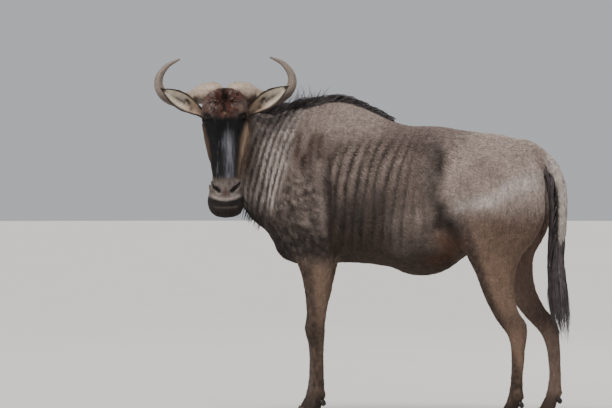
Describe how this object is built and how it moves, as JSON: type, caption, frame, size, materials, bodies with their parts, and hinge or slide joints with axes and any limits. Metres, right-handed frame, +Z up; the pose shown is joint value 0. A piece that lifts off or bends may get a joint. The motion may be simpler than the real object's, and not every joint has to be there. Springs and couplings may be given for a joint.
{
  "type": "wildebeest",
  "caption": "Still life-size wildebeest standing square, head turned to look over its left side, with curved horns, mane, beard and tasselled tail.",
  "frame": {"origin": "under the middle of the whole animal's bounding box, on the ground that the hooves stand on", "axes": "+Z up, the animal's chest faces -X and its left side faces -Y, towards which the head is turned"},
  "size_m": [1.7108, 0.5984, 1.515],
  "materials": {
    "face_hide": "short coarse hair, dark brown to slate",
    "neck_hide": "short hair, taupe with dark brown bars",
    "body_hide": "short sleek hair, grey-brown with dark bars",
    "leg_hide": "short hair, warm brown",
    "tail_hide": "short hair, grey-brown",
    "black_hair": "long coarse black hair",
    "ear_hide": "short hair, tan and brown",
    "eye": "wet dark eye",
    "horn": "satin keratin, grey-brown",
    "hoof_horn": "satin dark keratin"
  },
  "bodies": {
    "root": {"beard": "black_hair", "dewclaw_fore_left_inner": "hoof_horn", "dewclaw_fore_left_outer": "hoof_horn", "dewclaw_fore_right_inner": "hoof_horn", "dewclaw_fore_right_outer": "hoof_horn", "dewclaw_hind_left_inner": "hoof_horn", "dewclaw_hind_left_outer": "hoof_horn", "dewclaw_hind_right_inner": "hoof_horn", "dewclaw_hind_right_outer": "hoof_horn", "ear_left": "ear_hide", "ear_right": "ear_hide", "eye_left": "eye", "eye_right": "eye", "foreleg_lower_left": "leg_hide", "foreleg_lower_right": "leg_hide", "foreleg_upper_left": "leg_hide", "foreleg_upper_right": "leg_hide", "head": "face_hide", "hindleg_lower_left": "leg_hide", "hindleg_lower_right": "leg_hide", "hindleg_upper_left": "leg_hide", "hindleg_upper_right": "leg_hide", "hoof_fore_left": "hoof_horn", "hoof_fore_right": "hoof_horn", "hoof_hind_left": "hoof_horn", "hoof_hind_right": "hoof_horn", "horn_left": "horn", "horn_right": "horn", "mane": "black_hair", "neck": "neck_hide", "tail": "tail_hide", "tail_switch": "black_hair", "throat_fringe": "black_hair", "torso": "body_hide"}
  },
  "joints": []
}
